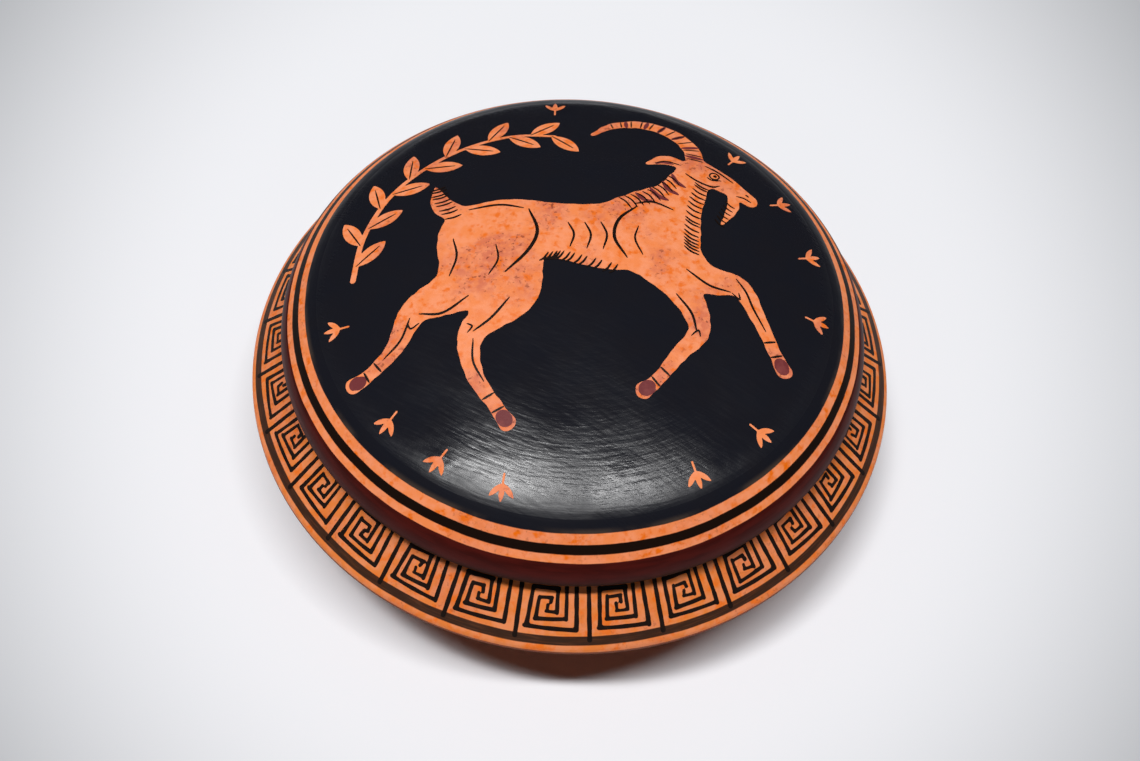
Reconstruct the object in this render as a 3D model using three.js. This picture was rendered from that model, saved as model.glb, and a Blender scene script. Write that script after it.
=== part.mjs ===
// A lidded round box of fired clay: a carinated bowl on a ring foot, and a domed lid that lifts off.
// Millimetres, +Z up, origin at the centre of the foot's resting ring.
import * as THREE from 'three';

// Both pieces
const AROUND = 60;             // facets round the axis
const SEAT_GAP = 0.3;          // between the bowl's mouth and the lid's underside
const FLANGE_CLEARANCE = 1.0;  // radial, between the lid's flange and the bowl's mouth

// Bowl
const RIM_R = 90;              // the sharp outer edge, where shoulder and belly meet
const RIM_Z = 34;
const RIM_EDGE = 1.2;          // height of the blunt band at that edge
const SHOULDER_RISE = 0.76;    // rise for each millimetre inwards
const RIM_ROUND = 0.4;         // how far the edge is rounded off inside the shoulder's line
const MOUTH_Z = 47;            // flat top of the mouth, where the lid rests
const MOUTH_R = 66.5;          // inside the mouth
const MOUTH_WALL = 5.5;        // height of the mouth's upright inner wall
const WALL = 5;                // wall of belly and shoulder
const FOOT_R = 46;
const FOOT_WIDTH = 5.5;
const FOOT_HEIGHT = 6;
const UNDER_Z = 4;             // the underside inside the foot ring
const FLOOR_Z = 9.5;           // the floor inside the bowl

// Lid
const LID_R = 79.2;            // widest, at the rounded rim
const LID_R_Z = 50;
const LID_TOP_Z = 74.2;
const DOME_RADIUS = 215;       // the crown is part of a sphere
const CROWN_TURN = 5;          // width of the round turn from the crown down to the bevel
const BEVEL_WIDTH = 5.7;       // the bevel that carries the painted rings
const BEVEL_FALL = 0.94;       // its drop for each millimetre outwards
const EDGE_ROUND = 2.5;        // width of the rim's rounding outside the bevel
const EDGE_RISE = 5.7;         // the bevel's foot above the widest point
const LID_WALL = 4.5;
const UNDERCUT = 3.2;          // rounding below the lid's rim
const FLANGE_WALL = 4;
const FLANGE_DEPTH = 6;

const point = (r, z) => new THREE.Vector2(r, z);

// A round stretch of outline, as a cubic curve with given tangents; the end point is left out.
function sweep(from, fromTangent, to, toTangent, steps) {
  const curve = new THREE.CubicBezierCurve(
    from,
    from.clone().add(fromTangent),
    to.clone().sub(toTangent),
    to,
  );
  return curve.getPoints(steps).slice(0, -1);
}

// The solid of a profile that starts and ends on the axis, turned to stand along +Z.
function turned(name, profile, material) {
  const geometry = new THREE.LatheGeometry(profile, AROUND);
  geometry.rotateX(Math.PI / 2);
  const mesh = new THREE.Mesh(geometry, material);
  mesh.name = name;
  return mesh;
}

function clay(color, roughness) {
  return new THREE.MeshStandardMaterial({ color, roughness, metalness: 0 });
}

function bowl() {
  const shoulderR = (z) => RIM_R + RIM_ROUND - (z - RIM_Z) / SHOULDER_RISE;
  const footTop = point(FOOT_R - 1.5, FOOT_HEIGHT);
  const rimUnder = point(RIM_R, RIM_Z - RIM_EDGE);
  const innerDrop = WALL * Math.hypot(1, SHOULDER_RISE);
  const innerShoulderR = (z) => shoulderR(z + innerDrop);
  const ledgeZ = MOUTH_Z - MOUTH_WALL;
  const innerTurn = point(innerShoulderR(RIM_Z - 1), RIM_Z - 1);
  const floorEdge = point(FOOT_R - 8, FLOOR_Z);
  const profile = [
    point(0, UNDER_Z),
    point(FOOT_R - FOOT_WIDTH - 1.5, UNDER_Z),
    point(FOOT_R - FOOT_WIDTH, UNDER_Z - 1.5),
    point(FOOT_R - FOOT_WIDTH + 0.5, 0),
    point(FOOT_R - 0.5, 0),
    point(FOOT_R, 0.8),
    ...sweep(footTop, point(16, 2), rimUnder, point(5, 16), 12),
    rimUnder,
    point(RIM_R, RIM_Z),
    point(shoulderR(RIM_Z + 1), RIM_Z + 1),
    point(shoulderR(MOUTH_Z - 0.5), MOUTH_Z - 0.5),
    point(shoulderR(MOUTH_Z) - 0.4, MOUTH_Z),
    point(MOUTH_R + 0.6, MOUTH_Z),
    point(MOUTH_R, MOUTH_Z - 0.6),
    point(MOUTH_R, ledgeZ),
    point(innerShoulderR(ledgeZ - 1.5), ledgeZ - 1.5),
    ...sweep(innerTurn, point(3, -4), floorEdge, point(-30, -1), 11),
    floorEdge,
    point(0, FLOOR_Z),
  ];
  return turned('bowl', profile, clay(0xd97a3e, 0.6));
}

function lid() {
  const underZ = MOUTH_Z + SEAT_GAP;
  const flangeR = MOUTH_R - FLANGE_CLEARANCE;
  const hollowR = flangeR - FLANGE_WALL;
  const centreZ = LID_TOP_Z - DOME_RADIUS;
  const onSphere = (radius, r) => point(r, centreZ + Math.sqrt(radius * radius - r * r));
  const slopeAt = (radius, r) => {
    const lean = Math.asin(r / radius);
    return point(Math.cos(lean), -Math.sin(lean));
  };
  const innerRadius = DOME_RADIUS - LID_WALL;
  const innerCrownR = hollowR - 5;
  const innerCrown = onSphere(innerRadius, innerCrownR);
  const innerEdge = point(hollowR, innerCrown.y - 6);

  const hollow = [];
  for (const share of [0, 0.2, 0.4, 0.6, 0.8]) {
    hollow.push(onSphere(innerRadius, share * innerCrownR));
  }
  hollow.push(...sweep(innerCrown, slopeAt(innerRadius, innerCrownR).multiplyScalar(3),
    innerEdge, point(0, -3), 4));

  const widest = point(LID_R, LID_R_Z);
  const bevelOut = point(LID_R - EDGE_ROUND, LID_R_Z + EDGE_RISE);
  const bevelIn = point(bevelOut.x - BEVEL_WIDTH, bevelOut.y + BEVEL_WIDTH * BEVEL_FALL);
  const along = point(1, -BEVEL_FALL).normalize();
  const crownR = bevelIn.x - CROWN_TURN;
  const crownEdge = onSphere(DOME_RADIUS, crownR);
  const turn = sweep(crownEdge, slopeAt(DOME_RADIUS, crownR).multiplyScalar(CROWN_TURN / 3),
    bevelIn, along.clone().multiplyScalar(CROWN_TURN / 3), 4);
  const edge = sweep(bevelOut, along.clone().multiplyScalar(EDGE_ROUND / 2),
    widest, point(0, -EDGE_RISE / 2), 4);
  const crown = [];
  for (const share of [1, 0.86, 0.72, 0.58, 0.43, 0.28, 0.14, 0]) {
    crown.push(onSphere(DOME_RADIUS, share * crownR));
  }
  const edgeDrop = widest.y - underZ;
  const profile = [
    ...hollow,
    innerEdge,
    point(hollowR, underZ - FLANGE_DEPTH + 0.8),
    point(hollowR + 0.8, underZ - FLANGE_DEPTH),
    point(flangeR - 0.8, underZ - FLANGE_DEPTH),
    point(flangeR, underZ - FLANGE_DEPTH + 0.8),
    point(flangeR, underZ),
    ...sweep(point(LID_R - UNDERCUT, underZ), point(UNDERCUT * 0.6, 0),
      widest, point(0, edgeDrop * 0.55), 5),
    widest,
    ...edge.slice(1).reverse(),
    bevelOut,
    bevelIn,
    ...turn.slice(1).reverse(),
    ...crown,
  ];
  return turned('lid', profile, clay(0x1c1c20, 0.35));
}

const pyxis = new THREE.Group();
pyxis.add(bowl(), lid());

export default pyxis;
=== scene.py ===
# %% [markdown]
# # A painted pyxis
# A pyxis is a small round box with a lid. This one is thrown in orange clay: the lid carries a black
# roundel with a reserved figure, painted rings and a maroon rim, and the bowl's sloping shoulder carries a
# meander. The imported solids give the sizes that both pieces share. Each cell adds one piece or one finish.

# %% Libraries and the frame
import math

import bmesh
import bpy
import numpy as np
from mathutils import Matrix, Vector


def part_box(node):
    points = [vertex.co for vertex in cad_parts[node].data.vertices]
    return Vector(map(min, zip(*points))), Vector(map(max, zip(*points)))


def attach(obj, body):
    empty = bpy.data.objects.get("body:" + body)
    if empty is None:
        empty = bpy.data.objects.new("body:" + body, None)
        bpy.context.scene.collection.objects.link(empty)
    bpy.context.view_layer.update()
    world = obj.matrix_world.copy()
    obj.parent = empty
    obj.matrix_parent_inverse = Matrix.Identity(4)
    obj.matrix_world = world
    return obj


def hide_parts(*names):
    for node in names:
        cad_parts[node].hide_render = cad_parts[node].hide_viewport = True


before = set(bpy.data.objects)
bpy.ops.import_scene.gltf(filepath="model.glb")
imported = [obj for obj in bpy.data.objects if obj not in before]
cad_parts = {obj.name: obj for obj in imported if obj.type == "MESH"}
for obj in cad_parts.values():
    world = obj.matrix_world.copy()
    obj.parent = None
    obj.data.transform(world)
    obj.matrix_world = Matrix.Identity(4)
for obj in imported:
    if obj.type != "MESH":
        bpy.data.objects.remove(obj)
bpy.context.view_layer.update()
MM = 0.001

# %% [markdown]
# ## Sizes
# Outlines are written in millimetres, as radius and height, the way a potter would draw half of the pot.
# What the solids already say is read from their boxes, so that a change of size there reaches this file.

# %% Driving sizes
bowl_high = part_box("bowl")[1]
lid_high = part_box("lid")[1]
RIM_R, MOUTH_Z = bowl_high[0] / MM, bowl_high[2] / MM
LID_R, LID_TOP_Z = lid_high[0] / MM, lid_high[2] / MM
SHOULDER_HIGH = 13.0
RIM_Z = MOUTH_Z - SHOULDER_HIGH
RIM_EDGE, RIM_ROUND = 1.2, 0.4
SHOULDER_RISE = 0.76
MOUTH_R, MOUTH_WALL = 66.5, 5.5
WALL = 5.0
FOOT_R, FOOT_WIDTH, FOOT_HEIGHT = 46.0, 5.5, 6.0
UNDER_Z, FLOOR_Z = 4.0, 9.5
LID_R_Z = MOUTH_Z + 3.0
DOME_RADIUS, LID_WALL = 215.0, 4.5
CROWN_TURN, BEVEL_WIDTH, BEVEL_FALL, BEVEL_SWELL = 5.0, 5.7, 0.94, 0.08
EDGE_ROUND, EDGE_RISE = 2.5, 5.7
UNDERCUT, FLANGE_WALL, FLANGE_DEPTH = 3.2, 4.0, 6.0
SEAT_GAP, FLANGE_CLEARANCE = 0.3, 1.0
BEVEL_OUT = (LID_R - EDGE_ROUND, LID_R_Z + EDGE_RISE)
BEVEL_IN = (BEVEL_OUT[0] - BEVEL_WIDTH, BEVEL_OUT[1] + BEVEL_WIDTH * BEVEL_FALL)
CROWN_R = BEVEL_IN[0] - CROWN_TURN
print("rim", round(RIM_R, 2), "mouth", round(MOUTH_Z, 2), "lid", round(LID_R, 2), round(LID_TOP_Z, 2))

# %% [markdown]
# ## Painted circles
# The rings are circles, so one radius says where each colour starts. They were painted a few tenths of a
# millimetre off the lid's middle, towards the back.

# %% Ring radii
ROUNDEL_R = 71.4
INNER_RING_R = 73.4
BLACK_RING_R = 75.2
MAROON_R = 76.7
RINGS_Y = 0.4
BAND_IN_R, BAND_OUT_R = 86.9, 88.7


# %% [markdown]
# ## Turned pieces
# Bowl and lid are thrown on a wheel. A cylinder could be pushed into shape, but spinning a profile about
# the axis is what the potter does, and it keeps every wall's thickness in view. Round stretches are cubic
# curves with a given direction at both ends.

# %% Round stretches
def sweep(start, lead, end, tail, steps):
    """Points on a cubic from start, leaving along lead, to end, arriving along tail; end is left out."""
    start, lead, end, tail = (np.array(v, float) for v in (start, lead, end, tail))
    points = []
    for t in np.arange(steps) / steps:
        s = 1 - t
        points.append(tuple(s**3 * start + 3 * s * s * t * (start + lead) + 3 * s * t * t * (end - tail)
                            + t**3 * end))
    return points


# %% Finished pieces
CREASE = math.radians(38)


def add_object(name, bm, materials, body):
    """A bmesh becomes a smooth piece with sharp creases, and rides on a body of the frame."""
    bmesh.ops.recalc_face_normals(bm, faces=bm.faces[:])
    mesh = bpy.data.meshes.new(name)
    bm.to_mesh(mesh)
    bm.free()
    for material in materials:
        mesh.materials.append(material)
    mesh.shade_smooth()
    mesh.set_sharp_from_angle(angle=CREASE)
    piece = bpy.data.objects.new(name, mesh)
    bpy.context.scene.collection.objects.link(piece)
    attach(piece, body)
    print(name, len(mesh.vertices), "vertices", len(mesh.polygons), "faces")
    return piece


# %% Spin
AROUND = 288


def turned(name, profile, painted, materials, body):
    """The profile spun about +Z. painted gives the number of each face's material."""
    bm = bmesh.new()
    verts = [bm.verts.new((r * MM, 0, z * MM)) for r, z in profile]
    edges = [bm.edges.new(pair) for pair in zip(verts, verts[1:])]
    bmesh.ops.spin(bm, geom=verts + edges, cent=(0, 0, 0), axis=(0, 0, 1), angle=math.tau,
                   steps=AROUND, use_merge=True)
    bmesh.ops.remove_doubles(bm, verts=bm.verts[:], dist=1e-6)
    bmesh.ops.recalc_face_normals(bm, faces=bm.faces[:])
    for face in bm.faces:
        r = max(math.hypot(v.co.x, v.co.y) for v in face.verts)
        face.material_index = painted(r / MM, face.calc_center_median().z / MM, face.normal.z)
    return add_object(name, bm, materials, body)


# %% [markdown]
# ## Shader maths
# Masks and mixes are easier to read as expressions than as wired nodes. A small class wraps a socket and
# turns arithmetic into Math nodes, and one method adds every other kind of node.

# %% A number in a node tree
class Value:
    """A socket's number. Arithmetic on it adds Math nodes."""

    def __init__(self, tree, socket):
        self.tree, self.socket = tree, socket

    def math(self, operation, other=None):
        inputs = {0: self} if other is None else {0: self, 1: other}
        return self.tree.add("ShaderNodeMath", {"operation": operation}, inputs)

    def __add__(self, other):
        return self.math("ADD", other)

    __radd__ = __add__

    def __mul__(self, other):
        return self.math("MULTIPLY", other)

    __rmul__ = __mul__

    def __sub__(self, other):
        return self.math("SUBTRACT", other)

    def __rsub__(self, other):
        return self * -1 + other

    def __truediv__(self, other):
        return self.math("DIVIDE", other)

    def over(self, low, high):
        """0 below low, 1 above high, smooth between."""
        return self.tree.add("ShaderNodeMapRange", {"interpolation_type": "SMOOTHSTEP"},
                             {"Value": self, "From Min": low, "From Max": high})

    def between(self, low, high, edge):
        """1 from low to high, with soft edges."""
        return self.over(low - edge, low + edge) * (1 - self.over(high - edge, high + edge))


# %% A material's tree
class Tree:
    """A material's nodes, with one way to add any node."""

    def __init__(self, name):
        self.material = bpy.data.materials.new(name)
        self.material.use_nodes = True
        self.nodes = self.material.node_tree.nodes
        self.links = self.material.node_tree.links
        self.shader = self.nodes["Principled BSDF"]
        self.place = self.add("ShaderNodeTexCoord", {}, {}, "Object")

    def add(self, kind, settings, inputs, output=0):
        node = self.nodes.new(kind)
        for key, value in settings.items():
            setattr(node, key, value)
        for key, value in inputs.items():
            self.put(node.inputs[key], value)
        return Value(self, node.outputs[output])

    def put(self, socket, value):
        if isinstance(value, Value):
            self.links.new(value.socket, socket)
        else:
            socket.default_value = value

    def part(self, axis):
        return self.add("ShaderNodeSeparateXYZ", {}, {"Vector": self.place}, axis)

    def join(self, x, y, z=0.0):
        return self.add("ShaderNodeCombineXYZ", {}, {"X": x, "Y": y, "Z": z})

    def noise(self, scale, detail=3.0, vector=None):
        return self.add("ShaderNodeTexNoise", {},
                        {"Vector": vector or self.place, "Scale": scale, "Detail": detail})

    def mix(self, share, first, second):
        """A colour between first and second. A Mix node's colour sockets are numbers 6 and 7."""
        return self.add("ShaderNodeMix", {"data_type": "RGBA"}, {0: share, 6: first, 7: second}, 2)

    def bump(self, height, strength):
        return self.add("ShaderNodeBump", {},
                        {"Height": height, "Strength": strength, "Distance": RELIEF})

    def finish(self, color, roughness, normal, gloss=0.5):
        self.put(self.shader.inputs["Base Color"], color)
        self.put(self.shader.inputs["Roughness"], roughness)
        self.put(self.shader.inputs["Normal"], normal)
        self.put(self.shader.inputs["Specular IOR Level"], gloss)
        return self.material


RELIEF = 0.0002


# %% [markdown]
# ## Colours
# Colours are read as screen values and made linear, because shaders add light, not screen values.

# %% Palette
def srgb(r, g, b):
    """A colour read as 0 to 255, made linear."""
    def linear(c):
        c /= 255
        return c / 12.92 if c <= 0.04045 else ((c + 0.055) / 1.055) ** 2.4
    return (linear(r), linear(g), linear(b), 1.0)


ORANGE = srgb(250, 142, 82)
SALMON = srgb(253, 154, 106)
ORANGE_DEEP = srgb(242, 112, 12)
PINK = srgb(214, 112, 82)
IRON = srgb(146, 66, 42)
SHOULDER_ORANGE = srgb(236, 130, 58)
SHOULDER_SALMON = srgb(240, 144, 92)
BARE = srgb(138, 80, 56)
BLACK = srgb(28, 27, 32)
BLUE_BLACK = srgb(24, 26, 34)
THIN_BLACK = srgb(74, 62, 54)
WARM_BLACK = srgb(26, 15, 10)
BROWN_BLACK = srgb(46, 29, 20)
MAROON = srgb(74, 20, 15)
MAROON_DARK = srgb(38, 10, 8)
PLUM = srgb(116, 50, 52)
PLUM_THIN = srgb(158, 84, 78)


# %% [markdown]
# ## Clay
# The clay was rubbed with a red slip, which took unevenly: salmon clouds of a few millimetres, deeper
# orange spots, a dull pink bloom of a centimetre or more, and rust specks. A noise of each size gives them.

# %% Clay colour
def clay_color(tree, blooming, spotted, orange=ORANGE, salmon=SALMON):
    """Orange clay. blooming and spotted say how much of the dull bloom and of the deep spots it has."""
    base = tree.mix(tree.noise(330, 5).over(0.38, 0.62), orange, salmon)
    bloom = tree.noise(60, 6).over(0.44, 0.64)
    grain = tree.noise(640, 4).over(0.36, 0.6)
    base = tree.mix(bloom * (grain * 0.55 + 0.3) * blooming, base, PINK)
    spot = tree.noise(430, 4).over(0.5, 0.68) * tree.noise(90, 3).over(0.32, 0.56)
    base = tree.mix(spot * (0.9 * spotted), base, ORANGE_DEEP)
    speck = tree.noise(1000, 3).over(0.57, 0.68)
    return tree.mix(speck * (bloom + 0.12) * (0.8 * blooming), base, IRON)


# %% [markdown]
# ## Brush marks
# Slip laid on a turning pot leaves streaks that run round the axis. A noise read in radius and angle is
# stretched the same way. A second set runs straight across, where a flat surface was gone over again.

# %% Brush streaks
def radius_of(tree, middle_y=0.0):
    x, y = tree.part("X"), tree.part("Y") - middle_y * MM
    return (x * x + y * y).math("SQRT") / MM


def round_streaks(tree, per_mm, per_radian):
    """Noise drawn out round the axis."""
    angle = tree.part("Y").math("ARCTAN2", tree.part("X"))
    return tree.noise(1.0, 3, tree.join(radius_of(tree) * per_mm, angle * per_radian))


def straight_streaks(tree, per_mm, stretch, angle):
    """Noise drawn out along a straight stroke."""
    size = (MM * stretch / per_mm, MM / per_mm, 1)
    turn = {"Vector": tree.place, "Rotation": (0, 0, angle), "Scale": size}
    return tree.noise(1.0, 3, tree.add("ShaderNodeMapping", {"vector_type": "TEXTURE"}, turn))


# %% Plain clay finish
def clay_material():
    """Bare clay inside and below: browner than the slip, with the wheel's turning lines."""
    tree = Tree("bare clay")
    grain = tree.noise(700)
    lines = round_streaks(tree, 0.9, 2)
    color = tree.mix(tree.noise(120, 5).over(0.4, 0.7) * 0.6, BARE, IRON)
    return tree.finish(color, 0.6 + grain * 0.15, tree.bump(lines * 0.7 + grain * 0.4, 0.4), 0.1)


CLAY = clay_material()


# %% Figure clay finish
def figure_material():
    """The reserved figure: the slipped clay, mottled strongly and rubbed to a low sheen."""
    tree = Tree("figure clay")
    grain = tree.noise(600)
    return tree.finish(clay_color(tree, 1.0, 1.0), 0.5 + grain * 0.15, tree.bump(grain, 0.2), 0.3)


FIGURE_CLAY = figure_material()


# %% Line paints
def paint_material(name, color, thin_color):
    """Brush lines. The paint turns to thin_color where the brush ran dry."""
    tree = Tree(name)
    thin = tree.noise(260, 3)
    return tree.finish(tree.mix(thin.over(0.5, 0.75) * 0.5, color, thin_color), 0.42 + thin * 0.15,
                       tree.bump(tree.noise(900), 0.25), 0.15)


LINE_BLACK = paint_material("line black", WARM_BLACK, BROWN_BLACK)
LINE_PLUM = paint_material("line plum", PLUM, PLUM_THIN)


# %% [markdown]
# ## The lid's ground
# Black roundel, two orange rings with a black one between, and the maroon rim. The circles waver by a
# tenth of a millimetre or two, as they do when a brush is held against a slowly turning lid. Here and there
# the black is thin along the roundel's edge, and the clay dulls it to a grey brown. The crown was rubbed to
# a shine that stops just past its edge, so two materials share one recipe.

# %% Lid finish
SOFT = 0.09
GLAZE_GLOSS, EDGE_GLOSS, RIM_GLOSS = 0.22, 0.04, 0.06
SHINE_PAST = 2.2


def rim_red(tree, rounds):
    return tree.mix(rounds.over(0.35, 0.65) * 0.5, MAROON, MAROON_DARK)


def lid_material(name, gloss):
    tree = Tree(name)
    r = radius_of(tree, RINGS_Y) + (tree.noise(45, 2) - 0.5) * 0.5 + (tree.noise(300, 2) - 0.5) * 0.12
    roundel = 1 - r.over(ROUNDEL_R - SOFT, ROUNDEL_R + SOFT)
    ring = r.between(INNER_RING_R, BLACK_RING_R, SOFT)
    maroon = r.over(MAROON_R - SOFT, MAROON_R + SOFT)
    rounds = round_streaks(tree, 1.1, 7)
    across = straight_streaks(tree, 1.2, 9, math.radians(-24))
    patches = tree.noise(34, 2).over(0.4, 0.6)
    wavy = tree.noise(130, 2)
    thin = r.over(ROUNDEL_R - 1.3, ROUNDEL_R - 0.2) * tree.noise(70, 4).over(0.42, 0.62)
    dark = tree.mix(thin * 0.7, tree.mix(wavy, BLUE_BLACK, BLACK), THIN_BLACK)
    color = tree.mix(roundel, clay_color(tree, 0.35, 1.1), dark)
    color = tree.mix(ring, color, WARM_BLACK)
    color = tree.mix(maroon, color, rim_red(tree, rounds))
    paint = roundel + ring + maroon
    height = (rounds * 1.1 + across * 0.5 + wavy * 2.6) * paint + tree.noise(700) * 0.3 + paint
    duller = r.over(CROWN_R - 4, CROWN_R + SHINE_PAST) * 0.14
    rough = 0.5 - roundel * (patches * 0.08 + 0.28) - ring * 0.2 + (across - 0.5) * 0.2 + duller
    return tree.finish(color, rough, tree.bump(height, 0.24), gloss)


def rim_material():
    """The maroon paint below the rings, flatter than the glaze, with painted shade that turns it nearly
    black along its lower edge.
    """
    tree = Tree("maroon rim")
    rounds = round_streaks(tree, 1.1, 7)
    # Painted shade: below the widest point the maroon darkens to nearly black, standing in for the shadow
    # under the rim.
    low = 1 - (tree.part("Z") / MM).over(LID_R_Z - 0.4, LID_R_Z + 1.4)
    color = tree.mix(low * 0.85, rim_red(tree, rounds), WARM_BLACK)
    return tree.finish(color, 0.45, tree.bump(rounds, 0.3), RIM_GLOSS)


LID_CROWN = lid_material("lid crown", GLAZE_GLOSS)
LID_EDGE = lid_material("lid edge", EDGE_GLOSS)
MAROON_RIM = rim_material()


# %% [markdown]
# ## The shoulder's ground
# Clay, with one thin brown-black band near the outer edge. The brush was nearly dry there, so the band is
# browner and more broken than the meander.

# %% Shoulder finish
def shoulder_material():
    tree = Tree("shoulder ground")
    r = radius_of(tree) + (tree.noise(60, 2) - 0.5) * 0.45
    band = r.between(BAND_IN_R, BAND_OUT_R, SOFT)
    streaks = round_streaks(tree, 3.2, 12)
    cover = 0.98 - streaks.over(0.45, 0.75) * 0.07
    clay = clay_color(tree, 0.4, 0.9, SHOULDER_ORANGE, SHOULDER_SALMON)
    color = tree.mix(band * cover, clay, BROWN_BLACK)
    grain = tree.noise(700)
    height = streaks * 0.3 + grain * 0.5 + band * 0.5
    return tree.finish(color, 0.5 + grain * 0.15 - band * 0.1, tree.bump(height, 0.3), 0.2)


SHOULDER_GROUND = shoulder_material()


# %% [markdown]
# ## Bowl
# One closed wall: ring foot, belly, outer edge, shoulder, mouth and the inside. Walking round the section
# once gives a body with no seams.

# %% Bowl profile
def shoulder_r(z):
    return RIM_R + RIM_ROUND - (z - RIM_Z) / SHOULDER_RISE


def shoulder_z(r):
    return RIM_Z + (RIM_R + RIM_ROUND - r) * SHOULDER_RISE


def foot_profile():
    """The underside and the ring foot, from the axis outwards."""
    inside = FOOT_R - FOOT_WIDTH
    return [
        (0, UNDER_Z),
        (inside - 4, UNDER_Z),
        *sweep((inside - 1.5, UNDER_Z), (1, 0), (inside, UNDER_Z - 1.5), (0, -1), 5),
        (inside, UNDER_Z - 1.5),
        *sweep((inside + 0.2, 0.5), (0, -0.3), (inside + 0.7, 0), (0.3, 0), 3),
        (inside + 0.7, 0),
        (FOOT_R - 0.8, 0),
        *sweep((FOOT_R - 0.5, 0), (0.4, 0), (FOOT_R, 0.8), (0, 0.4), 4),
        *sweep((FOOT_R, 0.8), (0, 2), (FOOT_R - 1.5, FOOT_HEIGHT), (0.2, 1), 8),
    ]


def bowl_profile():
    drop = WALL * math.hypot(1, SHOULDER_RISE)
    ledge_z = MOUTH_Z - MOUTH_WALL
    turn_z = RIM_Z - 1
    under = (RIM_R, RIM_Z - RIM_EDGE)
    over_z = RIM_Z + 0.9
    lip = (shoulder_r(MOUTH_Z - 0.4), MOUTH_Z - 0.4)
    return [
        *foot_profile(),
        *sweep((FOOT_R - 1.5, FOOT_HEIGHT), (16, 2), under, (5, 16), 44),
        *sweep(under, (0, 0.9), (shoulder_r(over_z), over_z), (-0.6, 0.46), 8),
        *[(shoulder_r(z), z) for z in np.linspace(over_z, MOUTH_Z - 0.6, 22)],
        *sweep(lip, (-0.2, 0.15), (lip[0] - 0.8, MOUTH_Z), (-0.2, 0), 4),
        (lip[0] - 0.8, MOUTH_Z),
        *sweep((MOUTH_R + 0.6, MOUTH_Z), (-0.35, 0), (MOUTH_R, MOUTH_Z - 0.6), (0, -0.35), 4),
        (MOUTH_R, MOUTH_Z - 0.6),
        (MOUTH_R, ledge_z),
        (shoulder_r(ledge_z - 1.5 + drop), ledge_z - 1.5),
        *sweep((shoulder_r(turn_z + drop), turn_z), (3, -4), (FOOT_R - 8, FLOOR_Z), (-30, -1), 32),
        (FOOT_R - 8, FLOOR_Z),
        (0, FLOOR_Z),
    ]


def bowl_paint(r, z, facing):
    return int(z > RIM_Z - 0.2 and r > MOUTH_R + 2 and facing > 0.1)


# %% Bowl
bowl = turned("bowl_wall", bowl_profile(), bowl_paint, [CLAY, SHOULDER_GROUND], "bowl")
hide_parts("bowl")


# %% [markdown]
# ## Lid
# The crown is part of a flat sphere. It turns down to a bevel that carries the painted rings, a little
# convex as fingers leave it, and that ends in the overhanging rim. Below, a flange hangs inside the bowl's
# mouth and keeps the lid centred.

# %% Lid profile
def sphere_z(radius, r):
    """Height of a sphere that shares the crown's centre."""
    return LID_TOP_Z - DOME_RADIUS + math.sqrt(radius**2 - r * r)


def slope(radius, r, length):
    lean = math.asin(r / radius)
    return (length * math.cos(lean), -length * math.sin(lean))


def rim_profile(under_z):
    """From the flat underside round the rim and up the bevel to the crown's edge."""
    widest = (LID_R, LID_R_Z)
    rise = LID_R_Z - under_z
    leave = np.array((1, BEVEL_SWELL - BEVEL_FALL))
    arrive = np.array((1, -BEVEL_SWELL - BEVEL_FALL))
    turn = sweep((CROWN_R, sphere_z(DOME_RADIUS, CROWN_R)), slope(DOME_RADIUS, CROWN_R, CROWN_TURN / 3),
                 BEVEL_IN, leave * CROWN_TURN / 4, 12)
    bevel = sweep(BEVEL_IN, leave * BEVEL_WIDTH / 3, BEVEL_OUT, arrive * BEVEL_WIDTH / 3, 12)
    edge = sweep(BEVEL_OUT, arrive * EDGE_ROUND / 3, widest, (0, -EDGE_RISE / 2), 12)
    return [
        *sweep((LID_R - UNDERCUT, under_z), (UNDERCUT * 0.6, 0), widest, (0, rise * 0.55), 14),
        widest,
        *reversed(turn[1:] + bevel + edge),
    ]


def lid_profile():
    under_z = MOUTH_Z + SEAT_GAP
    low = under_z - FLANGE_DEPTH
    flange_r = MOUTH_R - FLANGE_CLEARANCE
    hollow_r = flange_r - FLANGE_WALL
    inner = DOME_RADIUS - LID_WALL
    inner_r = hollow_r - 5
    inner_z = sphere_z(inner, inner_r)
    return [
        *[(r, sphere_z(inner, r)) for r in np.linspace(0, inner_r, 20)[:-1]],
        *sweep((inner_r, inner_z), slope(inner, inner_r, 3), (hollow_r, inner_z - 6), (0, -3), 8),
        (hollow_r, inner_z - 6),
        *sweep((hollow_r, low + 0.8), (0, -0.4), (hollow_r + 0.8, low), (0.4, 0), 4),
        (hollow_r + 0.8, low),
        *sweep((flange_r - 0.8, low), (0.4, 0), (flange_r, low + 0.8), (0, 0.4), 4),
        (flange_r, low + 0.8),
        (flange_r, under_z),
        *rim_profile(under_z),
        *[(r, sphere_z(DOME_RADIUS, r)) for r in np.linspace(CROWN_R, 0, 60)],
    ]


LID_FINISHES = [CLAY, LID_CROWN, LID_EDGE, MAROON_RIM]
UNDERSIDE, CROWN, EDGE, RIM = range(len(LID_FINISHES))


def lid_paint(r, z, facing):
    on_top = facing > 0.3
    if r > MAROON_R + 0.6 or (r > LID_R - UNDERCUT - 0.5 and facing < 0.3):
        return RIM
    if on_top:
        return EDGE if r > CROWN_R + SHINE_PAST else CROWN
    return UNDERSIDE


# %% Lid
lid = turned("lid_wall", lid_profile(), lid_paint, LID_FINISHES, "lid")
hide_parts("lid")


# %% [markdown]
# ## Brush strokes as distances
# Paint lies on the pot as a thin raised layer. Its outline has to merge where strokes cross, and no single
# operator does that, so a shape is first a field: each point of a grid holds the distance to the paint's
# edge, under 0 inside. Strokes join by taking the smaller distance.

# %% Distances
FAR = 1000.0


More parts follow.
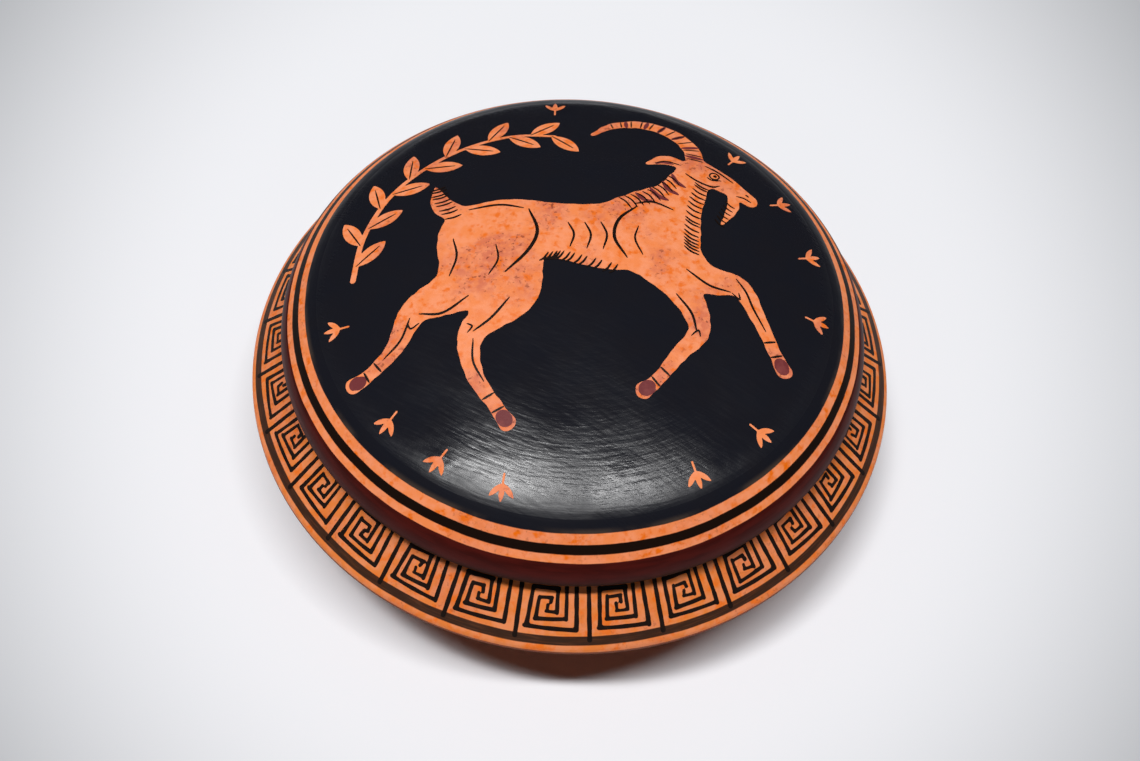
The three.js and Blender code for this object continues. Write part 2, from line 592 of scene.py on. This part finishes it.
def stroke(x, y, a, b, ra, rb):
    """Distance to a brush stroke from a to b whose half width goes from ra to rb."""
    ax, ay, bx, by = a[0], a[1], b[0], b[1]
    length = (bx - ax) ** 2 + (by - ay) ** 2 + 1e-9
    t = np.clip(((x - ax) * (bx - ax) + (y - ay) * (by - ay)) / length, 0, 1)
    return np.hypot(x - ax - t * (bx - ax), y - ay - t * (by - ay)) - (ra + t * (rb - ra))


def path(x, y, points, widths):
    """Strokes through a list of points, with a half width at each."""
    found = np.full(x.shape, FAR)
    for a, b, ra, rb in zip(points, points[1:], widths, widths[1:]):
        found = np.minimum(found, stroke(x, y, a, b, ra, rb))
    return found


def merged(a, b, soft):
    """Two shapes joined, with a fillet of about soft."""
    h = np.clip(0.5 + 0.5 * (b - a) / soft, 0, 1)
    return b + (a - b) * h - soft * h * (1 - h)


def smooth_line(points, steps=6):
    """A Catmull-Rom line through the points. Further columns, such as a width, are carried along."""
    points = np.array(points, float)
    ends = np.vstack([2 * points[0] - points[1], points, 2 * points[-1] - points[-2]])
    line = []
    for i in range(len(points) - 1):
        p0, p1, p2, p3 = ends[i:i + 4]
        for t in np.arange(steps) / steps:
            line.append(0.5 * (2 * p1 + (p2 - p0) * t + (2 * p0 - 5 * p1 + 4 * p2 - p3) * t**2
                               + (3 * p1 - p0 - 3 * p2 + p3) * t**3))
    return np.array(line + [points[-1]])


def limb(x, y, joints):
    """A smooth body through joints of (x, y, half width)."""
    line = smooth_line(joints)
    return path(x, y, line[:, :2], line[:, 2])


def drawn(lines, xs, ys):
    """The field of thin brush lines. A line is (points, half width), and it thins towards both ends."""
    field = np.full((len(ys), len(xs)), FAR)
    for points, width in lines:
        line = smooth_line(points)
        widths = width * (1 - 0.6 * np.abs(np.linspace(-1, 1, len(line))) ** 3)
        low, high = line.min(0) - 1.5, line.max(0) + 1.5
        rows = slice(*np.searchsorted(ys, (low[1], high[1])))
        columns = slice(*np.searchsorted(xs, (low[0], high[0])))
        x, y = np.meshgrid(xs[columns], ys[rows])
        field[rows, columns] = np.minimum(field[rows, columns], path(x, y, line, widths))
    return field


# %% [markdown]
# ## From a field to a sheet
# The grid's cells are kept where the field is under 0, and cells on the edge are cut where it crosses 0.
# Extruding those faces away from the pot gives the sheet its thickness.

# %% Tracing
def traced(field, xs, ys, wrap):
    """Cells of the grid where field is under 0, cut along its outline: points and faces."""
    columns = field.shape[1]
    step = xs[1] - xs[0]
    points, index, faces = [], {}, []

    def level(corner):
        return field[corner[0], corner[1] % columns]

    def spot(corner):
        return xs[0] + corner[1] * step, ys[corner[0]]

    def folded(corner):
        return (corner[0], corner[1] % columns) if wrap else corner

    def known(key, place):
        if key not in index:
            index[key] = len(points)
            points.append(place)
        return index[key]

    def crossing(p, q):
        low, high = sorted((p, q))
        t = level(low) / (level(low) - level(high))
        (xa, ya), (xb, yb) = spot(low), spot(high)
        return known((folded(low), folded(high)), (xa + t * (xb - xa), ya + t * (yb - ya)))

    inside = field < 0
    beside = inside | np.roll(inside, -1, axis=1)
    near = beside[:-1] | beside[1:]
    last = columns if wrap else columns - 1
    for i, j in zip(*np.nonzero(near[:, :last])):
        ring = [(i, j), (i, j + 1), (i + 1, j + 1), (i + 1, j)]
        face = []
        for p, q in zip(ring, ring[1:] + ring[:1]):
            if level(p) < 0:
                face.append(known(folded(p), spot(p)))
            if (level(p) < 0) != (level(q) < 0):
                face.append(crossing(p, q))
        if len(face) > 2:
            faces.append(face)
    return points, faces


# %% Laying a sheet
PAINT, TOUCH, INK = 0.09, 0.12, 0.15
SINK = 0.06


def laid(name, field, xs, ys, place, material, body, lift=PAINT, wrap=False):
    """A traced shape laid on the pot. place gives the point and the normal for chart coordinates."""
    points, faces = traced(field, xs, ys, wrap)
    bm = bmesh.new()
    verts, ups = [], {}
    for x, y in points:
        spot, normal = place(x, y)
        verts.append(bm.verts.new((spot - normal * SINK) * MM))
        ups[verts[-1].co.copy().freeze()] = normal
    for face in faces:
        bm.faces.new([verts[i] for i in face])
    grown = bmesh.ops.extrude_face_region(bm, geom=bm.faces[:])
    for item in grown["geom"]:
        if isinstance(item, bmesh.types.BMVert):
            item.co += ups[item.co.copy().freeze()] * ((lift + SINK) * MM)
    return add_object(name, bm, [material], body)


def on_dome(x, y):
    """The point of the dome above (x, y), and its normal."""
    spot = Vector((x, y, sphere_z(DOME_RADIUS, math.hypot(x, y))))
    return spot, (spot - Vector((0, 0, LID_TOP_Z - DOME_RADIUS))).normalized()


# %% [markdown]
# ## Meander
# Thirty hand-painted units run round the shoulder. A unit has a divider, an outer stroke and an inner
# stroke that coil into each other. The shoulder is a cone, so it is charted by the length round it and
# the height up its slope. Each corner is shaken a little, because no two units of a hand-painted band
# are alike.

# %% Meander sizes
UNITS = 30
MIDDLE_R = 82.0
TOP_R = 74.0
SEEN_R = 75.9
SLANT = math.hypot(1, SHOULDER_RISE)
FIELD_W = (BAND_IN_R - SEEN_R) * SLANT
GIRTH = math.tau * MIDDLE_R
PITCH_W = GIRTH / UNITS
OUTER_BRUSH, INNER_BRUSH, COIL_BRUSH, DIVIDER_BRUSH = 0.53, 0.49, 0.44, 0.55
SHAKE, OVERRUN, PRESSED = 0.13, 0.4, (0.88, 1.12)
DIVIDER_TOP = 18.0
SEED = 7
print("a unit is", round(PITCH_W, 1), "mm wide and its seen part", round(FIELD_W, 1), "mm high")

# %% [markdown]
# Corners are given as shares of a unit's width and height, from the divider and from the brown band. Each
# side is a stroke of its own that may overrun its corner. The brush is pressed less towards the middle.

# %% Meander strokes
OUTER = [(0.81, 1.25), (0.825, 0.13), (0.14, 0.14), (0.162, 0.845), (0.54, 0.85)]
HOOK = [(0.54, 0.85), (0.548, 0.42), (0.4, 0.425), (0.39, 0.52)]
INNER = [(0.655, 1.25), (0.667, 0.305), (0.26, 0.285)]
COIL = [(0.26, 0.285), (0.27, 0.68), (0.45, 0.69), (0.453, 0.6)]
SPIRALS = [(OUTER, OUTER_BRUSH, HOOK), (INNER, INNER_BRUSH, COIL)]


def unit_lines(origin, rng):
    """The brush strokes of one unit, as two ends and a half width at each."""
    lean = rng.normal(0, SHAKE)
    strokes = [((origin, -0.9), (origin + lean, DIVIDER_TOP), DIVIDER_BRUSH * 1.05, DIVIDER_BRUSH)]
    for first, brush, second in SPIRALS:
        shares = np.array(first + second[1:])
        corners = shares * (PITCH_W, FIELD_W) + (origin, 0) + rng.normal(0, SHAKE, shares.shape)
        brushes = [brush] * len(first) + [COIL_BRUSH] * (len(second) - 1)
        pressed = rng.uniform(*PRESSED, len(shares)) * brushes
        for a, b, ra, rb in zip(corners, corners[1:], pressed, pressed[1:]):
            overrun = (b - a) / np.hypot(*(b - a)) * rng.uniform(0, OVERRUN)
            strokes.append((a, b + overrun, ra, rb))
    return strokes


def meander_field(xs, ys):
    """Every unit's strokes, drawn in its own columns and a little of its neighbours'."""
    rng = np.random.default_rng(SEED)
    field = np.full((len(ys), len(xs)), FAR)
    for unit in range(UNITS):
        origin = unit * PITCH_W
        offset = (xs - origin + PITCH_W / 2) % GIRTH - PITCH_W / 2
        near = np.nonzero(offset < PITCH_W + 2)[0]
        x, y = np.meshgrid(origin + offset[near], ys)
        for a, b, ra, rb in unit_lines(origin, rng):
            field[:, near] = np.minimum(field[:, near], stroke(x, y, a, b, ra, rb))
    x, y = np.meshgrid(xs, ys)
    return field + 0.03 * (np.sin(x * 1.1 + 1.3 * np.sin(y * 0.9)) + np.sin(y * 1.4 + np.sin(x * 0.7)))


def on_cone(x, y):
    """The shoulder's point for a length round it and a height up its slope, and its normal."""
    angle = x / MIDDLE_R
    out = Vector((math.cos(angle), math.sin(angle), 0))
    r = BAND_IN_R - y / SLANT
    return out * r + Vector((0, 0, shoulder_z(r))), (out * SHOULDER_RISE + Vector((0, 0, 1))).normalized()


# %% Meander
COLUMNS, ROW = 1440, 0.37
around = np.arange(COLUMNS) * GIRTH / COLUMNS
upward = np.arange(-1.6, (BAND_IN_R - TOP_R) * SLANT, ROW)
laid("meander", meander_field(around, upward), around, upward, on_cone, LINE_BLACK, "bowl",
     wrap=True)

# %% [markdown]
# ## Figure scene
# A leaping goat is left in the clay's colour on the black roundel. A goat is drawn best as the painter
# draws it: tapered strokes for limbs, swelling at haunch and shoulder, joined with small fillets.
# Joints are (x, y, half width) in millimetres on the lid, seen from above.

# %% Goat joints
TORSO = [(19, 12, 12.2), (8, 9, 11.4), (-6, 9.5, 9.6), (-18, 9, 11.2), (-25, 7, 11.6)]
NECK = [(19, 16, 10.5), (25.5, 25, 7.2), (29, 33, 5.6), (31.5, 38, 4.9)]
HEAD = [(31.5, 38.2, 5.2), (37, 36.2, 4.2), (42, 33, 3.1), (46, 30, 2.3)]
NEAR_FORE = [(20, 8, 8.5), (32, -1, 5), (42, -2.5, 3.2), (47, -11, 2.1), (51, -20, 1.7), (53.4, -24.6, 2.2)]
FAR_FORE = [(17, 5, 7.5), (27, -6, 4.6), (31.5, -17, 2.8), (26.5, -25, 2.0), (21.5, -32.4, 1.6),
            (18, -36, 2.1)]
NEAR_HIND = [(-25, 5, 10.8), (-29, -9, 7.4), (-40, -16.5, 4.0), (-44, -27, 2.3), (-49.4, -34, 1.7),
             (-53, -36.6, 2.2)]
FAR_HIND = [(-18, 0, 9), (-16, -12, 6.2), (-25, -23, 3.5), (-23.5, -34, 2.1), (-17.5, -42.5, 1.7),
            (-14.4, -46.4, 2.2)]
LEGS = (NEAR_FORE, FAR_FORE, NEAR_HIND, FAR_HIND)
TAIL = [(-32, 14, 3.2), (-37.5, 18.5, 2.8), (-40, 25, 0.6)]
EAR = [(28, 40, 1.7), (22.5, 41.4, 2.0), (17.4, 38.8, 0.5)]
BEARD = [(41.5, 30.5, 1.7), (40.8, 25, 1.5), (37.8, 18.6, 0.4)]
HORN = [(31, 42.4, 2.6), (29.5, 49, 2.5), (24, 55, 2.2), (15.5, 57.4, 1.8), (7, 55, 1.3), (1.6, 49.8, 0.6)]


def goat(x, y):
    """Distance to the goat's silhouette."""
    whole = merged(limb(x, y, TORSO), limb(x, y, NECK), 6)
    legs = merged(limb(x, y, NEAR_FORE), limb(x, y, NEAR_HIND), 1)
    whole = merged(whole, legs, 4)
    for part, fillet in ((HEAD, 2), (FAR_FORE, 2), (FAR_HIND, 2), (EAR, 0.8), (BEARD, 0.8), (TAIL, 1.5),
                         (HORN, 0.8)):
        whole = merged(whole, limb(x, y, part), fillet)
    return whole


# %% [markdown]
# A leafy branch fills the ground above the goat's back. Leaves alternate along a curved stem, and each is
# the overlap of two circles.

# %% Branch
STEM = [(-58, -6), (-57.5, 8), (-53, 22), (-45, 33), (-34, 42), (-21, 47.5), (-9, 48)]
LEAF_L, LEAF_W, LEAF_COUNT, LEAF_LEAN = 10.5, 4.4, 13, 0.72


def leaf(x, y, at, angle, length, width):
    """A pointed leaf that grows from at in the direction of angle."""
    u = (x - at[0]) * math.cos(angle) + (y - at[1]) * math.sin(angle) - length / 2
    v = (y - at[1]) * math.cos(angle) - (x - at[0]) * math.sin(angle)
    radius = (length**2 + width**2) / (4 * width)
    shift = radius - width / 2
    return np.maximum(np.hypot(u, v - shift), np.hypot(u, v + shift)) - radius


def leaves_on(stem, count, spread):
    """Where leaves leave the stem, and in which direction, side by side in turn."""
    line = smooth_line(stem, 12)
    found = []
    for number in range(count):
        spot = (number + 1) * (len(line) - 1) // count - 1
        ahead = line[spot + 1] - line[spot]
        side = spread if number % 2 else -spread
        found.append((line[spot], math.atan2(ahead[1], ahead[0]) + side))
    return found


LEAVES = leaves_on(STEM, LEAF_COUNT, LEAF_LEAN)


def branch(x, y):
    line = smooth_line(STEM)
    found = path(x, y, line, np.linspace(0.75, 0.4, len(line)))
    for at, angle in LEAVES:
        found = np.minimum(found, leaf(x, y, at, angle, LEAF_L, LEAF_W))
    return found


# %% [markdown]
# Small three-leaved sprigs stand along the roundel's edge, where the goat and the branch leave room.

# %% Sprigs
SPRIG_R, SPRIG_L, SPRIG_W = 62.5, 4.4, 1.3
STALK_L, STALK_BRUSH = 2.2, 0.26
SPRIG_SPREAD = (-0.75, 0, 0.75)
SPRIG_TILTS = (-7, 9)
SPRIG_ANGLES = [99, 48, 30, 12, -7, -42, -60, 257, 242, 227, 199]


def sprigs(x, y):
    found = np.full(x.shape, FAR)
    for number, degrees in enumerate(SPRIG_ANGLES):
        turn = math.radians(degrees + SPRIG_TILTS[number % 2])
        at = np.array([math.cos(math.radians(degrees)), math.sin(math.radians(degrees))]) * SPRIG_R
        foot = at - np.array([math.cos(turn), math.sin(turn)]) * STALK_L
        found = np.minimum(found, stroke(x, y, foot, at, STALK_BRUSH, STALK_BRUSH))
        for spread in SPRIG_SPREAD:
            found = np.minimum(found, leaf(x, y, at, turn + spread, SPRIG_L, SPRIG_W))
    return found


# %% Figure
def chart(half, step):
    side = np.arange(-half, half, step)
    return side, np.meshgrid(side, side)


side, (grid_x, grid_y) = chart(66, 0.48)
ripple = 0.06 * (np.sin(grid_x * 1.3 + 2 * np.sin(grid_y * 0.7)) + np.sin(grid_y * 1.7 + grid_x * 0.4))
laid("goat_figure", goat(grid_x, grid_y) + ripple, side, side, on_dome, FIGURE_CLAY, "lid")
side, (grid_x, grid_y) = chart(69, 0.3)
laid("branch", branch(grid_x, grid_y), side, side, on_dome, FIGURE_CLAY, "lid")
laid("sprigs", sprigs(grid_x, grid_y), side, side, on_dome, FIGURE_CLAY, "lid")


# %% [markdown]
# ## Lines on the figure
# Muscles, ribs, joints and hair are thin black relief lines. Hooves, the ear's inside, strands of the mane
# and bands on the horn are laid over the clay in a dull plum red.

# %% Strokes across a limb
def bands(joints, shares, slant):
    """Short strokes across a limb, at shares of its length."""
    line = smooth_line(joints)
    found = []
    for share in shares:
        spot = int(share * (len(line) - 2))
        ahead = line[spot + 1, :2] - line[spot, :2]
        ahead = ahead / np.hypot(*ahead)
        across = np.array([-ahead[1], ahead[0]]) + ahead * slant
        here, half = line[spot, :2], line[spot, 2] * 0.95
        found.append([here - across * half, here + across * half])
    return found


def hoof(joints):
    """The last stretch of a leg."""
    line = smooth_line(joints)
    return line[-4:, :2]


def hair(edge, count, stroke_x, stroke_y):
    """Short strokes that start along an edge and run inwards."""
    line = smooth_line(edge, 10)
    found = []
    for share in np.linspace(0, 1, count):
        p = line[int(share * (len(line) - 1))]
        found.append([p, p + (stroke_x * 0.55, stroke_y * 0.35), p + (stroke_x, stroke_y)])
    return found


# %% Black relief lines
EYE = (36.2, 37.6)
BODY_LINES = [
    ([(12.5, 2), (9.0, 8.4), (10.0, 15), (14.6, 20.4)], 0.46),
    ([(14.0, 21.4), (19, 22.8), (24.5, 20.8)], 0.34),
    ([(16.6, 3.4), (14.4, 8.6), (15.2, 13.2)], 0.27),
    ([(-14, 16.6), (-11.2, 9), (-13.2, 2), (-18.4, -5)], 0.48),
    ([(-30, 16.2), (-22, 18), (-15.4, 17)], 0.34),
    ([(-33, 6), (-31.4, 0), (-32.6, -6.4)], 0.3),
    ([(-21.6, 4), (-20.6, -1), (-22.6, -6)], 0.27),
    ([(-3.4, 12.4), (-1.6, 8.4), (-2.4, 4)], 0.3),
    ([(1.0, 12.8), (2.8, 8.6), (2.0, 3.8)], 0.3),
    ([(5.2, 13.4), (7.0, 9), (6.2, 4)], 0.3),
]
LEG_LINES = [
    ([(28, 0.6), (34, -3.4), (39.6, -4.4)], 0.34),
    ([(41.2, 0.2), (43.8, -3.6), (45.6, -8.2), (48.8, -14.4)], 0.3),
    ([(40.0, -4.6), (42.0, -6.2), (41.8, -4.2)], 0.25),
    ([(-27, -12.4), (-33, -17.4), (-39, -17.6)], 0.36),
    ([(-41.2, -18.6), (-42.8, -25), (-46.4, -30)], 0.3),
    ([(-38.6, -20.2), (-40.6, -21.8), (-41.6, -20.2)], 0.25),
    ([(-16.6, -12.8), (-20.6, -18.8), (-24.8, -22.8)], 0.34),
    ([(-24.6, -24.8), (-24.0, -31), (-20.8, -36.4)], 0.28),
    ([(-26.6, -20.6), (-25.2, -21.4), (-26.2, -23.2)], 0.25),
    ([(25.4, -7.6), (29.4, -12.8), (30.8, -18)], 0.34),
    ([(29.4, -19.4), (31.2, -17.6), (31.8, -19.4)], 0.25),
]
HEAD_LINES = [
    ([(33.6, 41.6), (37.4, 39.6), (41.6, 36.2)], 0.3),
    ([(28.0, 36.6), (31.2, 34.2), (35.2, 32.8), (37.6, 33.8)], 0.34),
    ([(42.2, 30.8), (44.4, 30.6), (46.4, 29.4)], 0.27),
    ([(45.0, 32.2), (45.8, 31.6)], 0.3),
    ([(34.0, 36.6), (35.6, 35.7), (38.2, 36.2)], 0.25),
    ([(26.6, 40), (22.6, 40.8), (19.4, 39.4)], 0.25),
]

# %% [markdown]
# Hair grows in fringes on the beard, the tail, the belly, the throat and the mane. A fringe is its edge, the
# number of strokes, how far a stroke reaches in x and y, and its half width.

# %% Fringes
HAIRS = [
    ([(41.6, 25.5), (38.4, 17.6)], 6, -2.6, 2.4, 0.24),
    ([(-41.6, 24), (-39.6, 19), (-36, 13)], 9, 4.2, 1.6, 0.3),
    ([(8, -3.6), (0, -1.8), (-6, -0.6), (-10, -1.2)], 13, 2.2, 3.0, 0.3),
    ([(34.6, 31), (32.4, 22), (31.4, 12), (31.4, 6)], 17, -4.0, 2.4, 0.3),
    ([(22.8, 34.6), (17.4, 27.6), (9.6, 23.2)], 11, 3.6, -3.8, 0.26),
]
LEG_BRUSH, HORN_BRUSH, VEIN_BRUSH = 0.3, 0.22, 0.22


def ink_lines():
    lines = BODY_LINES + LEG_LINES + HEAD_LINES
    for leg in LEGS:
        lines += [(points, LEG_BRUSH) for points in bands(leg, (0.78, 0.88), 0.1)]
    lines += [(points, HORN_BRUSH) for points in bands(HORN, np.linspace(0.06, 0.86, 12), 0.25)]
    for edge, count, stroke_x, stroke_y, width in HAIRS:
        lines += [(points, width) for points in hair(edge, count, stroke_x, stroke_y)]
    for at, angle in LEAVES:
        tip = at + np.array([math.cos(angle), math.sin(angle)]) * LEAF_L * 0.8
        lines.append(([at, tip], VEIN_BRUSH))
    return lines


side, (grid_x, grid_y) = chart(64, 0.22)
eye_ring = np.abs(np.hypot(grid_x - EYE[0], grid_y - EYE[1]) - 1.35) - 0.24
eye_dot = np.hypot(grid_x - EYE[0] - 0.2, grid_y - EYE[1]) - 0.55
ink = np.minimum(drawn(ink_lines(), side, side), np.minimum(eye_ring, eye_dot))
laid("relief_lines", ink, side, side, on_dome, LINE_BLACK, "lid", lift=INK)


# %% Plum strands
HOOF_BRUSH, BAND_BRUSH = 1.9, 0.6
STRANDS = [
    ([(24.2, 35.4), (25.4, 32.4), (27.8, 30.6)], 0.7),
    ([(21.6, 31.6), (23.2, 28.8), (25.8, 27.2)], 0.75),
    ([(18.2, 28.2), (20.2, 25.6), (23.0, 24.4)], 0.75),
    ([(14.2, 25.6), (16.6, 23.4), (19.6, 22.8)], 0.65),
    ([(24.6, 39.9), (21.6, 40.2), (19.6, 39.2)], 0.5),
]


def plum_lines():
    lines = STRANDS + [(points, BAND_BRUSH) for points in bands(HORN, np.linspace(0.1, 0.74, 6), 0.25)]
    return lines + [(hoof(leg), HOOF_BRUSH) for leg in LEGS]


side, (grid_x, grid_y) = chart(64, 0.3)
laid("plum_touches", drawn(plum_lines(), side, side), side, side, on_dome, LINE_PLUM, "lid",
     lift=TOUCH)

# %% [markdown]
# ## Table
# A pale table fills the picture. It is palest round the pot and dims towards the corners, as a picture
# taken with a wide lens does. The dimming is an oval that is wider behind the pot, because more of the
# table fits into the picture there. Only the camera sees it: to the pot the whole table is pale. Far out
# the table fades into the pale surroundings, so that a low view has no dark horizon.

# %% Floor
FLOOR_PALE, FLOOR_DIM = srgb(245, 246, 250), srgb(129, 132, 135)
OVAL_MIDDLE_Y, OVAL_X, OVAL_Y = 0.01, 0.19, 0.153
WIDEN_X, WIDEN_Y = 0.245, 0.215
DIM_FROM, DIM_TO, DIM_MOST = 0.62, 1.6, 0.68
PICTURE_SHAPE = 0.67
FADE_FROM, FADE_TO = 0.45, 1.5
FLOOR_HALF = 3
SEEN_PALE, SEEN_STRENGTH = srgb(250, 250, 255), 0.8


def floor_material():
    tree = Tree("pale table")
    ahead = tree.part("Y") - OVAL_MIDDLE_Y
    across = tree.part("X") / (ahead * WIDEN_X + OVAL_X)
    behind = ahead / (ahead * WIDEN_Y + OVAL_Y) * PICTURE_SHAPE
    away = (across * across + behind * behind).math("SQRT")
    seen = tree.add("ShaderNodeLightPath", {}, {}, "Is Camera Ray")
    dim = away.over(DIM_FROM, DIM_TO).math("MINIMUM", DIM_MOST)
    tree.finish(tree.mix(dim * seen, FLOOR_PALE, FLOOR_DIM), 0.9, tree.bump(tree.noise(90), 0.02), 0.0)
    far = (radius_of(tree) * MM).over(FADE_FROM, FADE_TO) * seen
    glow = tree.add("ShaderNodeEmission", {}, {"Color": SEEN_PALE, "Strength": SEEN_STRENGTH})
    lit = Value(tree, tree.shader.outputs["BSDF"])
    faded = tree.add("ShaderNodeMixShader", {}, {0: far, 1: lit, 2: glow})
    tree.put(tree.nodes["Material Output"].inputs["Surface"], faded)
    return tree.material


bm = bmesh.new()
bmesh.ops.create_grid(bm, x_segments=1, y_segments=1, size=FLOOR_HALF)
floor_mesh = bpy.data.meshes.new("floor")
bm.to_mesh(floor_mesh)
bm.free()
floor_mesh.materials.append(floor_material())
floor = bpy.data.objects.new("floor", floor_mesh)
bpy.context.scene.collection.objects.link(floor)

# %% [markdown]
# ## Light
# A row of lamps hangs high above, a little towards the camera, and leans back so that the table behind the
# pot is as pale as in front. It is two metres long, so the shadow is a dark lens below the front edge that
# softens to both sides, and the shine on the black is a long patch. A shorter lamp makes its left half
# brighter. The surroundings are dim, so the black stays black. The world looks pale only to the camera.

# %% World
WORLD_FILL = 0.006
world = bpy.data.worlds.new("studio")
world.use_nodes = True
nodes, links = world.node_tree.nodes, world.node_tree.links
ray = nodes.new("ShaderNodeLightPath")
strength = nodes.new("ShaderNodeMapRange")
strength.inputs["To Min"].default_value = WORLD_FILL
strength.inputs["To Max"].default_value = SEEN_STRENGTH
links.new(ray.outputs["Is Camera Ray"], strength.inputs["Value"])
links.new(strength.outputs["Result"], nodes["Background"].inputs["Strength"])
nodes["Background"].inputs["Color"].default_value = SEEN_PALE
bpy.context.scene.world = world


# %% Lamps
LEAN = math.radians(32)
LAMP_UP, LAMP_WIDTH = 2.5, 0.18


def softbox(name, x, y, turn, length, power):
    """A rectangular lamp that faces down and a little back, its long side turned from X."""
    light = bpy.data.lights.new(name, "AREA")
    light.shape = "RECTANGLE"
    light.size, light.size_y, light.energy = length, LAMP_WIDTH, power
    lamp = bpy.data.objects.new(name, light)
    bpy.context.scene.collection.objects.link(lamp)
    lamp.location = (x, y, LAMP_UP)
    lamp.rotation_euler = (LEAN, 0, math.radians(turn))


softbox("long lamp", 0.0, -0.335, 3.5, 2.1, 50)
softbox("short lamp", -0.52, -0.32, -8, 0.64, 22)

# %% [markdown]
# ## Camera
# The camera looks down steeply from in front, turned a few degrees in its own axis, from about the
# distance at which a hand-held picture would be taken.

# %% Camera
CAMERA_BACK, CAMERA_UP = 184.7, 306.3
PITCH, ROLL = math.radians(57.52), math.radians(3.95)
LENS, SENSOR = 36.3, 36.0
forward = Vector((0, math.cos(PITCH), -math.sin(PITCH)))
right = Vector((1, 0, 0))
up = right.cross(forward)
along = right * math.cos(ROLL) + up * math.sin(ROLL)
above = up * math.cos(ROLL) - right * math.sin(ROLL)
eye = bpy.data.objects.new("camera", bpy.data.cameras.new("camera"))
eye.data.lens, eye.data.sensor_width = LENS, SENSOR
eye.matrix_world = Matrix((
    (along.x, above.x, -forward.x, 0),
    (along.y, above.y, -forward.y, -CAMERA_BACK * MM),
    (along.z, above.z, -forward.z, CAMERA_UP * MM),
    (0, 0, 0, 1),
))
bpy.context.scene.collection.objects.link(eye)
bpy.context.scene.camera = eye
bpy.context.scene.view_settings.view_transform = "Standard"
